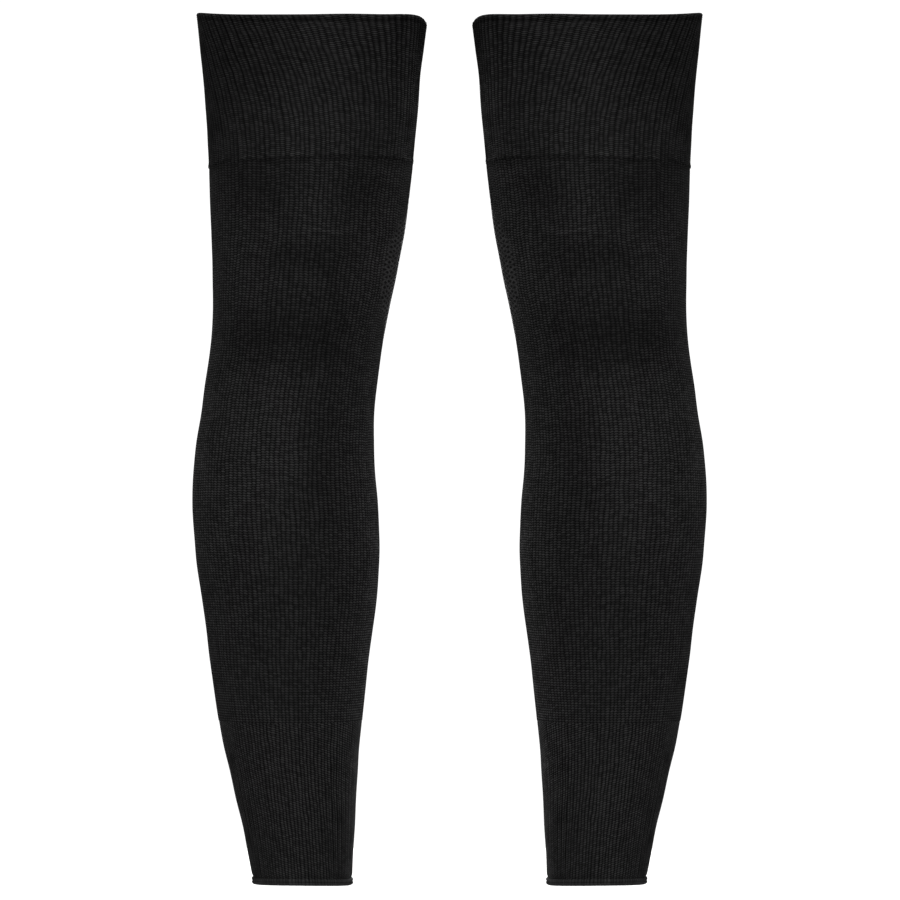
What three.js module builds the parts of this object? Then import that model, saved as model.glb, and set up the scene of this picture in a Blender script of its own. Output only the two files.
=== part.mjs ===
// A pair of black knitted over-the-knee leg warmers, each an open tube filled out as on a standing leg.
// Millimetres, +Z up, the fronts facing -Y. The origin lies midway between the two legs, half way up the
// thigh cuffs, where the wearer's thighs hold the pair up.
import * as THREE from "three";

// Heights, measured up from the level where the ankles' sections start
const ORIGIN_UP = 540;
const HEM_TALL = 4.6;
const HEM_DROP = 0.7; // how far the hem's lower edge hangs below that level at the front and the back
const HEM_SIDE_DIP = 2.3; // how much further it dips at the two sides
const HEM_TILT = 0.4; // how much higher than that it lies on the outer side, and lower on the inner one
const ANKLE_SEAM_UP = 110;
const THIGH_SEAM_UP = 491.8;
const THIGH_SEAM_TILT = 2.1; // how much the seam rises towards the inner side and falls towards the outer one
const THIGH_SEAM_RISE = 1.6; // how much it rises towards the front and falls towards the back
const RIM_UP = 589.2;
const SEAM_GAP = 0.3;

// Cloth: the walls are measured over the ribs
const CUFF_WALL = 2.8;
const LEG_WALL = 1.8;
const ANKLE_WALL = 2;
const HEM_WALL = 2.6;
const HEM_PROUD = 0.5; // how far the overlocked edge stands out past the ankle cuff
const RIM_FOLD_TALL = 1.6; // height of the rounded fold along the top of the cuff

// Ribs: how many go round, how deep their grooves are in each piece, and how far the thigh cuff's ribs lean
// outwards at the rim
const RIB_COUNT = 120;
const CUFF_GROOVE = 0.9;
const LEG_GROOVE = 0.5;
const ANKLE_GROOVE = 0.6;
const RIB_LEAN = THREE.MathUtils.degToRad(22);
const RIB_LEAN_POWER = 2; // the lean starts slowly above the seam

// Sections of one leg. up is the height above the hem, outer and inner are the distances of the two sides
// from the plane between the legs, front and back are the depths either side of the widest line.
const SECTIONS = [
  { up: 0, outer: 135.5, inner: 67.4, front: 42, back: 34.5 },
  { up: 35, outer: 142.3, inner: 65.5, front: 43, back: 37 },
  { up: 75, outer: 151.7, inner: 63.4, front: 44.5, back: 40.5 },
  { up: 110, outer: 159.2, inner: 60.3, front: 46.5, back: 45 },
  { up: 150, outer: 165.1, inner: 56.1, front: 48.5, back: 51 },
  { up: 190, outer: 170.3, inner: 50.7, front: 51.5, back: 60 },
  { up: 225, outer: 175.2, inner: 48.1, front: 54, back: 67 },
  { up: 260, outer: 177.4, inner: 49.6, front: 55.5, back: 69 },
  { up: 295, outer: 175.3, inner: 52, front: 57, back: 65 },
  { up: 325, outer: 171, inner: 51.5, front: 58.5, back: 60 },
  { up: 355, outer: 166.6, inner: 48, front: 61, back: 56 },
  { up: 385, outer: 163.4, inner: 43.3, front: 66, back: 56 },
  { up: 420, outer: 163.6, inner: 35.6, front: 69, back: 60 },
  { up: 455, outer: 164.8, inner: 29.7, front: 71.5, back: 67 },
  { up: 490, outer: 165.9, inner: 25.8, front: 75, back: 74 },
  { up: 520, outer: 167.1, inner: 22.6, front: 77.5, back: 79 },
  { up: 560, outer: 170.7, inner: 19.3, front: 80, back: 82 },
  { up: 596, outer: 174.7, inner: 15, front: 82, back: 84 },
];
const SQUARENESS = 2.15; // exponent of each section's rounded outline, where 2 is an ellipse

// Soft swells and hollows that the knitted-in knee gives the cloth, turn in degrees: 0 on the outer side,
// 90 at the front, 180 on the inner side, 270 at the back. tall and wide are how far each one spreads.
const KNEE_FORMS = [
  { up: 440, turn: 98, tall: 18, wide: 24, lift: 2.5 }, // above the kneecap
  { up: 404, turn: 72, tall: 22, wide: 22, lift: 2.5 }, // kneecap
  { up: 368, turn: 92, tall: 14, wide: 34, lift: -2.5 }, // hollow below the kneecap
  { up: 462, turn: 122, tall: 20, wide: 16, lift: -2.5 }, // hollow above it, on the inner side
  { up: 418, turn: 114, tall: 18, wide: 16, lift: -2.2 }, // hollow beside it
];

// Where the rim is pulled up: turn and spread in degrees, lift in millimetres
const RIM_PEAKS = [
  { turn: 0, wide: 30, lift: 7.7 }, // outer side
  { turn: 112, wide: 12, lift: 0.8 },
  { turn: 148, wide: 16, lift: 3.2 }, // inner corners, in front and behind
  { turn: 165, wide: 12, lift: 1.4 },
  { turn: 212, wide: 16, lift: 2 },
];

// How many points go round each plain face, and the levels of each tube's rings as shares of its height
const PLAIN_POINTS = { cuff: 48, leg: 40, ankle: 32, hem: 32 };
const LEVELS = {
  cuff: [0, 0.3, 0.65, 1],
  leg: [0, 0.13, 0.27, 0.42, 0.57, 0.71, 0.85, 1],
  ankle: [0, 0.5, 1],
};

const KNIT_BLACK = new THREE.MeshStandardMaterial({ color: 0x191a1a, roughness: 0.92, metalness: 0 });
const HEM_BLACK = new THREE.MeshStandardMaterial({ color: 0x202121, roughness: 0.85, metalness: 0 });

const FULL_TURN = 2 * Math.PI;

// The slope of a column of the section table at one row, from the rows on either side of it
function slopeAt(row, column) {
  const below = SECTIONS[Math.max(row - 1, 0)];
  const above = SECTIONS[Math.min(row + 1, SECTIONS.length - 1)];
  return (above[column] - below[column]) / (above.up - below.up);
}

// One size of the leg at a height, on a smooth curve through the section table
function sizeAt(up, column) {
  const clamped = THREE.MathUtils.clamp(up, SECTIONS[0].up, SECTIONS.at(-1).up);
  const next = Math.max(SECTIONS.findIndex((section) => section.up >= clamped), 1);
  const [low, high] = [SECTIONS[next - 1], SECTIONS[next]];
  const span = high.up - low.up;
  const t = (clamped - low.up) / span;
  return (
    low[column] * (2 * t ** 3 - 3 * t ** 2 + 1) +
    high[column] * (3 * t ** 2 - 2 * t ** 3) +
    span * slopeAt(next - 1, column) * (t ** 3 - 2 * t ** 2 + t) +
    span * slopeAt(next, column) * (t ** 3 - t ** 2)
  );
}

// How far the knee's forms lift the cloth at one place
function kneeLift(up, turn) {
  let lift = 0;
  for (const form of KNEE_FORMS) {
    const rise = (up - form.up) / form.tall;
    const round = (THREE.MathUtils.radToDeg(turn) - form.turn) / form.wide;
    lift += form.lift * Math.exp(-(rise ** 2 + round ** 2) / 2);
  }
  return lift;
}

// A point of the cloth's outer face at a height and turn, moved in by some depth towards the leg's axis
function clothPoint(up, turn, depth = 0) {
  const outer = sizeAt(up, "outer");
  const inner = sizeAt(up, "inner");
  const across = (outer - inner) / 2;
  const deep = sizeAt(up, Math.sin(turn) > 0 ? "front" : "back");
  const reach =
    (Math.abs(Math.cos(turn) / across) ** SQUARENESS + Math.abs(Math.sin(turn) / deep) ** SQUARENESS) **
      (-1 / SQUARENESS) +
    kneeLift(up, turn) -
    depth;
  const axis = -(outer + inner) / 2;
  return new THREE.Vector3(axis - reach * Math.cos(turn), -reach * Math.sin(turn), up - ORIGIN_UP);
}

// Edges of the pieces, as heights round the leg
const foot = (turn) => -HEM_DROP - HEM_SIDE_DIP * Math.cos(turn) ** 2 + HEM_TILT * Math.cos(turn);
const hemSeam = (turn) => foot(turn) + HEM_TALL;
const ankleSeam = () => ANKLE_SEAM_UP;
const thighSeam = (turn) =>
  THIGH_SEAM_UP - THIGH_SEAM_TILT * Math.cos(turn) + THIGH_SEAM_RISE * Math.sin(turn);

// The height of the thigh cuff's rim at a turn
function rim(turn) {
  let up = RIM_UP;
  for (const peak of RIM_PEAKS) {
    const away = THREE.MathUtils.euclideanModulo(THREE.MathUtils.radToDeg(turn) - peak.turn + 180, 360) - 180;
    up += peak.lift * Math.exp(-((away / peak.wide) ** 2) / 2);
  }
  return up;
}

// A ring of points at one level between two edges: turns runs round it, depth says how far in each point lies
function ring(turns, bottom, top, level, depth) {
  return turns.map((turn, index) => {
    const up = bottom(turn) + (top(turn) - bottom(turn)) * level;
    return { turn, point: clothPoint(up, turn, depth(index)) };
  });
}

const evenTurns = (count, shift = 0) =>
  Array.from({ length: count }, (_, index) => (index / count) * FULL_TURN + shift);

// Joins two rings of any counts with triangles, walking round both by their turns. With equal counts the
// points pair off by index, so that a leaning rib stays one straight band.
function bandBetween(lower, upper, triangles) {
  const paired = lower.length === upper.length;
  const shift = paired ? 0 : nearestIndex(upper, lower[0].turn);
  const turnOf = (points, index) => {
    const rounds = Math.floor(index / points.length);
    return points[index % points.length].turn + rounds * FULL_TURN;
  };
  let [a, b] = [0, 0];
  while (a < lower.length || b < upper.length) {
    const here = lower[a % lower.length].point;
    const there = upper[(b + shift) % upper.length].point;
    const stepLower = paired ? a <= b : turnOf(lower, a + 1) <= turnOf(upper, b + shift + 1);
    if (b >= upper.length || (stepLower && a < lower.length)) {
      triangles.push([here, lower[(a + 1) % lower.length].point, there]);
      a += 1;
    } else {
      triangles.push([here, upper[(b + shift + 1) % upper.length].point, there]);
      b += 1;
    }
  }
}

// The index of the point of a ring that lies nearest to a turn
function nearestIndex(points, turn) {
  const away = points.map((entry) => Math.abs(entry.turn - turn));
  return away.indexOf(Math.min(...away));
}

// A closed body of cloth from rings in order: up the outer face, over the top, down the inner face, and back
// to the first ring
function closedWall(rings) {
  const triangles = [];
  rings.forEach((lower, index) => bandBetween(lower, rings[(index + 1) % rings.length], triangles));
  return new THREE.BufferGeometry().setFromPoints(triangles.flat());
}

// A knitted tube between two edges, ribbed outside and plain inside
function ribbedTube({ bottom, top, levels, wall, groove, plainPoints, lean = () => 0, fold = 0 }) {
  const grooved = (index) => (index % 2 ? groove : 0);
  const ribTop = (turn) => top(turn) - fold;
  const outer = levels.map((level) =>
    ring(evenTurns(2 * RIB_COUNT, -lean(level)), bottom, ribTop, level, grooved),
  );
  const turns = evenTurns(plainPoints);
  const crest = fold ? [ring(turns, bottom, top, 1, () => wall / 2)] : [];
  const inner = levels.map((level) => ring(turns, bottom, ribTop, level, () => wall)).reverse();
  return closedWall([...outer, ...crest, ...inner]);
}

// The wide cuff round the thigh: a turned welt of double cloth, folded at the rim
function thighCuff() {
  return ribbedTube({
    bottom: (turn) => thighSeam(turn) + SEAM_GAP / 2,
    top: rim,
    levels: LEVELS.cuff,
    wall: CUFF_WALL,
    groove: CUFF_GROOVE,
    plainPoints: PLAIN_POINTS.cuff,
    lean: (level) => RIB_LEAN * level ** RIB_LEAN_POWER,
    fold: RIM_FOLD_TALL,
  });
}

// The long tube over the knee and the calf
function legTube() {
  return ribbedTube({
    bottom: () => ankleSeam() + SEAM_GAP / 2,
    top: (turn) => thighSeam(turn) - SEAM_GAP / 2,
    levels: LEVELS.leg,
    wall: LEG_WALL,
    groove: LEG_GROOVE,
    plainPoints: PLAIN_POINTS.leg,
  });
}

// The finer ribbed cuff round the ankle
function ankleCuff() {
  return ribbedTube({
    bottom: (turn) => hemSeam(turn) + SEAM_GAP / 2,
    top: () => ankleSeam() - SEAM_GAP / 2,
    levels: LEVELS.ankle,
    wall: ANKLE_WALL,
    groove: ANKLE_GROOVE,
    plainPoints: PLAIN_POINTS.ankle,
  });
}

// The overlocked edge below the ankle cuff, a flat-bottomed bead
function hem() {
  const turns = evenTurns(PLAIN_POINTS.hem);
  const top = (turn) => hemSeam(turn) - SEAM_GAP / 2;
  const middle = -HEM_PROUD;
  const loop = (share, depth) => ring(turns, foot, top, share, () => depth);
  return closedWall([
    loop(0, 0),
    loop(0.5, middle),
    loop(1, 0),
    loop(1, HEM_WALL - HEM_PROUD),
    loop(0, HEM_WALL - HEM_PROUD),
  ]);
}

// One leg warmer, with its side's name before each piece's own
function legWarmer(side) {
  const leg = new THREE.Group();
  const pieces = [
    { name: "thigh_cuff", geometry: thighCuff(), material: KNIT_BLACK },
    { name: "leg", geometry: legTube(), material: KNIT_BLACK },
    { name: "ankle_cuff", geometry: ankleCuff(), material: KNIT_BLACK },
    { name: "hem", geometry: hem(), material: HEM_BLACK },
  ];
  for (const piece of pieces) {
    const mesh = new THREE.Mesh(piece.geometry, piece.material);
    mesh.name = `${side}_${piece.name}`;
    leg.add(mesh);
  }
  return leg;
}

// The sections are those of the wearer's right leg, at -X. The left one is its mirror image.
const pair = new THREE.Group();
const rightLeg = legWarmer("right");
const leftLeg = legWarmer("left");
leftLeg.scale.x = -1;
pair.add(rightLeg, leftLeg);

export default pair;
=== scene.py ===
"""A pair of black knitted over-the-knee leg warmers, filled out as on a standing wearer.

Each leg has four pieces of cloth: a ribbed thigh cuff of double cloth, the long tube over the knee and the
calf, a finer ribbed ankle cuff and the overlocked edge below it. The right leg is knitted first, loop by
loop, and the left one is its mirror image. Lengths are in millimetres until a point is placed.
"""

import logging
import math
from dataclasses import dataclass
from enum import Enum

import bpy
import numpy as np
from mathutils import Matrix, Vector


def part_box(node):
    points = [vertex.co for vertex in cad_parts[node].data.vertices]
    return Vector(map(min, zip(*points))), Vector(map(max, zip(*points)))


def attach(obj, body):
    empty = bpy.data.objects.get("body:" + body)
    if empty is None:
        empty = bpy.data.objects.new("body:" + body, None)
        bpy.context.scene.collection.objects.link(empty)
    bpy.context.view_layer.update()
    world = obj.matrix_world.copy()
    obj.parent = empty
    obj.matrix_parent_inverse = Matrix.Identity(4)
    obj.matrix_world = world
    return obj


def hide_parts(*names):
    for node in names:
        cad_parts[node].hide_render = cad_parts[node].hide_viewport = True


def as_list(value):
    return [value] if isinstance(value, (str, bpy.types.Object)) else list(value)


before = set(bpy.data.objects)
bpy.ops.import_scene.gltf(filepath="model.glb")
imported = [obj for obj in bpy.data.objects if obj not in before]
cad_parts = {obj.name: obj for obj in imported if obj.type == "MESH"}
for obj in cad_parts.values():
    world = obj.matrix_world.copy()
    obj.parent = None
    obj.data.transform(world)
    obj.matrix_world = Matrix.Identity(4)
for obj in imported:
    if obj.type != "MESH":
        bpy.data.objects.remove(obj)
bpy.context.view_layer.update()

LOG = logging.getLogger("leg_warmers")
MM = 0.001
FULL_TURN = 2 * math.pi
WALES = 120
SAME_LEVEL = 1e-6
NEAR_FACE = 0.1
SHARP_EDGE = math.radians(75)
LOOP_MAP = "wales_and_courses"
Array = np.ndarray
Piece = bpy.types.Object
Socket = bpy.types.NodeSocket


class Side(Enum):
    """Which of the wearer's legs a piece belongs to."""

    RIGHT = "right"
    LEFT = "left"


class Face(Enum):
    """The two faces of a knitted wall, by the radius that the blank tube has there."""

    INNER = 1.0
    OUTER = 2.0


@dataclass(frozen=True)
class Section:
    """One level cut through the leg.

    up is the height above the front of the hem, outer and inner are the distances of the two sides from the
    plane between the legs, front and back the depths either side of the widest line.
    """

    up: float
    outer: float
    inner: float
    front: float
    back: float


@dataclass(frozen=True)
class Swell:
    """A soft swell or hollow of the cloth, spread as a bell round one place.

    turn and wide are in degrees round the leg: 0 on the outer side, 90 at the front, 180 on the inner side.
    """

    turn: float
    wide: float
    lift: float
    up: float = 0.0
    tall: float = math.inf

    def at(self, up: Array, turn: Array) -> Array:
        """The lift in millimetres, outwards or upwards, at heights and turns on the leg."""
        away = degrees_from(turn, self.turn)
        return self.lift * np.exp(-0.5 * ((away / self.wide) ** 2 + ((up - self.up) / self.tall) ** 2))


@dataclass(frozen=True)
class Band:
    """A soft band of the cloth along an edge: how strong, how wide and how far from the edge it is."""

    lift: float
    width: float
    middle: float = 0.0

    def at(self, away: Array) -> Array:
        """The lift at distances from the edge."""
        return self.lift * np.exp(-(((away - self.middle) / self.width) ** 2))


@dataclass(frozen=True)
class Wobble:
    """An uneven, smooth rise and fall round a tube, from -lift to lift."""

    seed: int
    around: int
    along: int
    lift: float = 1.0

    def at(self, turn: Array, level: Array) -> Array:
        """The rise at places on the tube.

        Args:
            turn: Turns round the tube, in radians.
            level: Levels up the tube, from 0 to 1.

        Returns:
            One value for each place.
        """
        values = np.random.default_rng(self.seed).uniform(-1.0, 1.0, (self.along + 1, self.around))
        column = (turn / FULL_TURN) % 1.0 * self.around
        row = np.clip(level, 0.0, 1.0) * self.along
        left = np.floor(column).astype(int) % self.around
        low = np.minimum(np.floor(row).astype(int), self.along - 1)
        across = smooth(column - np.floor(column))
        upward = smooth(row - low)
        right = (left + 1) % self.around
        bottom = values[low, left] * (1 - across) + values[low, right] * across
        top = values[low + 1, left] * (1 - across) + values[low + 1, right] * across
        return self.lift * (bottom * (1 - upward) + top * upward)

    def share(self, turn: Array, level: Array) -> Array:
        """The rise of a wobble with a lift of 1, as a share from 0 to 1."""
        return 0.5 + 0.5 * self.at(turn, level)


@dataclass(frozen=True)
class Spots:
    """Places on the cloth, each with its height above the hem and its turn round the leg in radians.

    A wale is a whole number on top of a rib, and a course is one on top of a loop.
    """

    up: Array
    turn: Array
    wale: Array
    course: Array


def smooth(share: Array) -> Array:
    """A share from 0 to 1, eased at both ends."""
    share = np.clip(share, 0.0, 1.0)
    return share * share * (3.0 - 2.0 * share)


def degrees_from(turn: Array, middle: float) -> Array:
    """How many degrees turns in radians lie past a middle in degrees, from -180 to 180."""
    return (np.degrees(turn) - middle + 180.0) % 360.0 - 180.0


def groove_lines(wale: Array, sharpness: float) -> Array:
    """A mask that is 1 in the grooves between the wales and falls to 0 on the wales."""
    return np.abs(np.sin(math.pi * wale)) ** sharpness


def every_other(wale: Array) -> Array:
    """A mask that is 1 from every odd wale to the next one and 0 between the others."""
    return np.floor(wale) % 2


SECTIONS = (
    Section(up=0, outer=135.5, inner=67.4, front=42, back=34.5),
    Section(up=35, outer=142.3, inner=65.5, front=43, back=37),
    Section(up=75, outer=151.7, inner=63.4, front=44.5, back=40.5),
    Section(up=110, outer=159.2, inner=60.3, front=46.5, back=45),
    Section(up=150, outer=165.1, inner=56.1, front=48.5, back=51),
    Section(up=190, outer=170.3, inner=50.7, front=51.5, back=60),
    Section(up=225, outer=175.2, inner=48.1, front=54, back=67),
    Section(up=260, outer=177.4, inner=49.6, front=55.5, back=69),
    Section(up=295, outer=175.3, inner=52, front=57, back=65),
    Section(up=325, outer=171, inner=51.5, front=58.5, back=60),
    Section(up=355, outer=166.6, inner=48, front=61, back=56),
    Section(up=385, outer=163.4, inner=43.3, front=66, back=56),
    Section(up=420, outer=163.6, inner=35.6, front=69, back=60),
    Section(up=455, outer=164.8, inner=29.7, front=71.5, back=67),
    Section(up=490, outer=165.9, inner=25.8, front=75, back=74),
    Section(up=520, outer=167.1, inner=22.6, front=77.5, back=79),
    Section(up=560, outer=170.7, inner=19.3, front=80, back=82),
    Section(up=596, outer=174.7, inner=15, front=82, back=84),
)

KNEE_FORMS = (
    Swell(up=440, turn=98, tall=18, wide=24, lift=2.5),
    Swell(up=404, turn=72, tall=22, wide=22, lift=2.5),
    Swell(up=368, turn=92, tall=14, wide=34, lift=-2.5),
    Swell(up=462, turn=122, tall=20, wide=16, lift=-2.5),
    Swell(up=418, turn=114, tall=18, wide=16, lift=-2.2),
)

# Painted light and shade: swells of paler and darker yarn that stand in for how the studio light falls over
# the knee, the calf and the leg's edges.
PAINTED_LIGHT_AND_SHADE = (
    Swell(up=508, turn=96, tall=20, wide=26, lift=0.2),
    Swell(up=545, turn=6, tall=60, wide=24, lift=-0.3),
    Swell(up=565, turn=50, tall=30, wide=22, lift=-0.2),
    Swell(up=484, turn=65, tall=8, wide=34, lift=-0.2),
    Swell(up=525, turn=170, tall=26, wide=14, lift=1.6),
    Swell(up=474, turn=122, tall=16, wide=12, lift=-0.35),
    Swell(up=405, turn=143, tall=45, wide=13, lift=0.28),
    Swell(up=428, turn=84, tall=12, wide=12, lift=-0.22),
    Swell(up=372, turn=58, tall=14, wide=16, lift=-0.16),
    Swell(up=466, turn=50, tall=16, wide=14, lift=-0.25),
    Swell(up=468, turn=73, tall=16, wide=10, lift=-0.22),
    Swell(up=428, turn=110, tall=12, wide=18, lift=-0.2),
    Swell(up=376, turn=92, tall=18, wide=40, lift=-0.3),
    Swell(up=310, turn=8, tall=65, wide=14, lift=0.5),
    Swell(up=282, turn=76, tall=40, wide=24, lift=0.12),
    Swell(up=300, turn=118, tall=70, wide=12, lift=-0.2),
    Swell(up=200, turn=172, tall=170, wide=14, lift=1.1),
    Swell(up=175, turn=90, tall=50, wide=60, lift=-0.15),
    Swell(up=60, turn=150, tall=60, wide=18, lift=0.3),
)


@dataclass(frozen=True)
class LegForm:
    """The outer face of one leg warmer: its sections, its knee and the edges between its pieces."""

    origin_up: float
    squareness: float = 2.15
    wale_heights: tuple[float, ...] = (0, 60, 150, 250, 326, 390, 455, 600)
    wale_widening: tuple[float, ...] = (0.02, 0.05, 0.14, 0.15, 0.04, -0.07, -0.14, -0.17)
    hem_tall: float = 4.6
    hem_drop: float = 0.7
    hem_side_dip: float = 2.3
    hem_tilt: float = 0.4
    ankle_seam_up: float = 110.0
    thigh_seam_up: float = 491.8
    thigh_seam_tilt: float = 2.1
    thigh_seam_rise: float = 1.6
    join_wander: Wobble = Wobble(seed=5, around=60, along=1, lift=0.9)
    sewn_gap: float = 0.1
    knitted_gap: float = 0.04
    rim_up: float = 589.2
    rim_peaks: tuple[Swell, ...] = (
        Swell(turn=0, wide=30, lift=7.7),
        Swell(turn=112, wide=12, lift=0.8),
        Swell(turn=148, wide=16, lift=3.2),
        Swell(turn=165, wide=12, lift=1.4),
        Swell(turn=212, wide=16, lift=2.0),
    )

    def size(self, up: Array, column: str) -> Array:
        """One size of the leg, on a smooth curve through the sections.

        Args:
            up: Heights above the hem.
            column: The name of a field of Section.

        Returns:
            The size at each height.
        """
        heights = np.array([section.up for section in SECTIONS], float)
        values = np.array([getattr(section, column) for section in SECTIONS], float)
        slopes = np.empty_like(values)
        slopes[1:-1] = (values[2:] - values[:-2]) / (heights[2:] - heights[:-2])
        slopes[0] = (values[1] - values[0]) / (heights[1] - heights[0])
        slopes[-1] = (values[-1] - values[-2]) / (heights[-1] - heights[-2])
        clamped = np.clip(up, heights[0], heights[-1])
        low = np.clip(np.searchsorted(heights, clamped) - 1, 0, len(heights) - 2)
        span = heights[low + 1] - heights[low]
        t = (clamped - heights[low]) / span
        return (
            values[low] * (2 * t**3 - 3 * t**2 + 1)
            + values[low + 1] * (3 * t**2 - 2 * t**3)
            + span * slopes[low] * (t**3 - 2 * t**2 + t)
            + span * slopes[low + 1] * (t**3 - t**2)
        )

    def point(self, up: Array, turn: Array, depth: Array) -> Array:
        """Points of the cloth of the right leg.

        Args:
            up: Heights above the hem.
            turn: Turns round the leg, in radians.
            depth: How far each point lies inside the plain outer face, towards the leg's axis.

        Returns:
            The points, one a row, in metres in the frame of the part.
        """
        outer = self.size(up, "outer")
        inner = self.size(up, "inner")
        deep = np.where(np.sin(turn) > 0, self.size(up, "front"), self.size(up, "back"))
        across = (outer - inner) / 2
        power = self.squareness
        sideways = np.abs(np.cos(turn) / across) ** power
        reach = (sideways + np.abs(np.sin(turn) / deep) ** power) ** (-1 / power)
        for form in KNEE_FORMS:
            reach = reach + form.at(up, turn)
        reach = reach - depth
        x = -(outer + inner) / 2 - reach * np.cos(turn)
        return MM * np.stack([x, -reach * np.sin(turn), up - self.origin_up], axis=1)

    def spread(self, up: Array, even: Array) -> Array:
        """Where evenly counted wales lie round the leg, closer where the cloth is slack.

        Args:
            up: Heights above the hem.
            even: The wales' turns if they were evenly spaced, in radians.

        Returns:
            Their turns on the leg, in radians.
        """
        wider = np.interp(up, self.wale_heights, self.wale_widening)
        return even - wider / 2 * np.sin(2 * even)

    def foot(self, turn: Array) -> Array:
        """Height of the hem's lower edge, which dips at both sides, most at the inner one."""
        return -self.hem_drop - self.hem_side_dip * np.cos(turn) ** 2 + self.hem_tilt * np.cos(turn)

    def hem_seam(self, turn: Array) -> Array:
        """Height of the join between the hem and the ankle cuff."""
        return self.foot(turn) + self.hem_tall

    def ankle_seam(self, turn: Array) -> Array:
        """Height of the change of knit between the ankle cuff and the leg."""
        return np.full_like(turn, self.ankle_seam_up)

    def thigh_seam(self, turn: Array) -> Array:
        """Height of the join between the leg and the thigh cuff, higher inside and in front."""
        return self.thigh_seam_up - self.thigh_seam_tilt * np.cos(turn) + self.thigh_seam_rise * np.sin(turn)

    def join(self, turn: Array) -> Array:
        """Height of the thigh seam as it was sewn, a little uneven."""
        return self.thigh_seam(turn) + self.join_wander.at(turn, np.zeros_like(turn))

    def rim(self, turn: Array) -> Array:
        """Height of the top of the thigh cuff, pulled up at the outer side."""
        flat = np.full_like(turn, self.rim_up)
        return sum((peak.at(flat, turn) for peak in self.rim_peaks), flat)


def deselect_all() -> None:
    """Leaves object mode with nothing selected."""
    if bpy.context.object and bpy.context.object.mode != "OBJECT":
        bpy.ops.object.mode_set(mode="OBJECT")
    bpy.ops.object.select_all(action="DESELECT")


def select_only(piece: Piece) -> None:
    """Selects one piece and makes it the active one.

    Args:
        piece: The piece.
    """
    deselect_all()
    bpy.context.view_layer.objects.active = piece
    piece.select_set(True)


def vertex_places(piece: Piece) -> Array:
    """Reads where the vertices of a piece are.

    Args:
        piece: The piece.

    Returns:
        The vertices, one a row.
    """
    places = np.empty(len(piece.data.vertices) * 3, np.float64)
    piece.data.vertices.foreach_get("co", places)
    return places.reshape(-1, 3)


def cut_rings(piece: Piece, face: Face, rows: int) -> None:
    """Cuts each upright edge on one face of a blank tube into equal parts.

    Args:
        piece: The blank tube.
        face: Which of its two faces is cut.
        rows: How many parts each edge becomes.
    """
    mesh = piece.data
    places = vertex_places(piece)
    radius = np.hypot(places[:, 0], places[:, 1])
    ends = np.empty(len(mesh.edges) * 2, np.int32)
    mesh.edges.foreach_get("vertices", ends)
    ends = ends.reshape(-1, 2)
    upright = np.abs(places[ends[:, 0], 2] - places[ends[:, 1], 2]) > SAME_LEVEL
    on_face = np.all(np.abs(radius[ends] - face.value) < NEAR_FACE, axis=1)
    mesh.vertices.foreach_set("select", np.zeros(len(mesh.vertices), bool))
    mesh.polygons.foreach_set("select", np.zeros(len(mesh.polygons), bool))
    mesh.edges.foreach_set("select", upright & on_face)
    bpy.context.tool_settings.mesh_select_mode = (False, True, False)
    bpy.ops.object.mode_set(mode="EDIT")
    bpy.ops.mesh.subdivide(number_cuts=rows - 1)
    bpy.ops.object.mode_set(mode="OBJECT")


def blank_tube(name: str, around: int, outer_cuts: tuple[int, ...], inner_rows: int) -> Piece:
    """A closed upright wall, one unit tall, with rings cut round both of its faces.

    Args:
        name: The name of the new piece.
        around: How many points go round it.
        outer_cuts: The rows of the outer face, as factors that are cut one after the other.
        inner_rows: The rows of the inner face.

    Returns:
        The new piece, active and at the origin.
    """
    deselect_all()
    bpy.ops.mesh.primitive_cylinder_add(
        vertices=around, radius=Face.OUTER.value, depth=1.0, end_fill_type="NOTHING", location=(0, 0, 0.5)
    )
    piece = bpy.context.object
    piece.name = name
    piece.data.name = name
    bpy.ops.object.transform_apply(location=True, rotation=True, scale=True)
    wall = piece.modifiers.new("wall", "SOLIDIFY")
    wall.thickness = Face.OUTER.value - Face.INNER.value
    wall.offset = -1.0
    bpy.ops.object.modifier_apply(modifier=wall.name)
    for rows in outer_cuts:
        cut_rings(piece, Face.OUTER, rows)
    cut_rings(piece, Face.INNER, inner_rows)
    return piece


def turn_outwards(piece: Piece) -> None:
    """Flips all the faces of a closed piece if they point inwards.

    Args:
        piece: The piece.
    """
    mesh = piece.data
    mesh.calc_loop_triangles()
    corners = np.empty(len(mesh.loop_triangles) * 3, np.int32)
    mesh.loop_triangles.foreach_get("vertices", corners)
    a, b, c = (vertex_places(piece)[corners.reshape(-1, 3)[:, k]] for k in range(3))
    if np.einsum("ij,ij->i", a, np.cross(b, c)).sum() < 0:
        select_only(piece)
        bpy.ops.object.mode_set(mode="EDIT")
        bpy.ops.mesh.select_all(action="SELECT")
        bpy.ops.mesh.flip_normals()
        bpy.ops.object.mode_set(mode="OBJECT")


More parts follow.
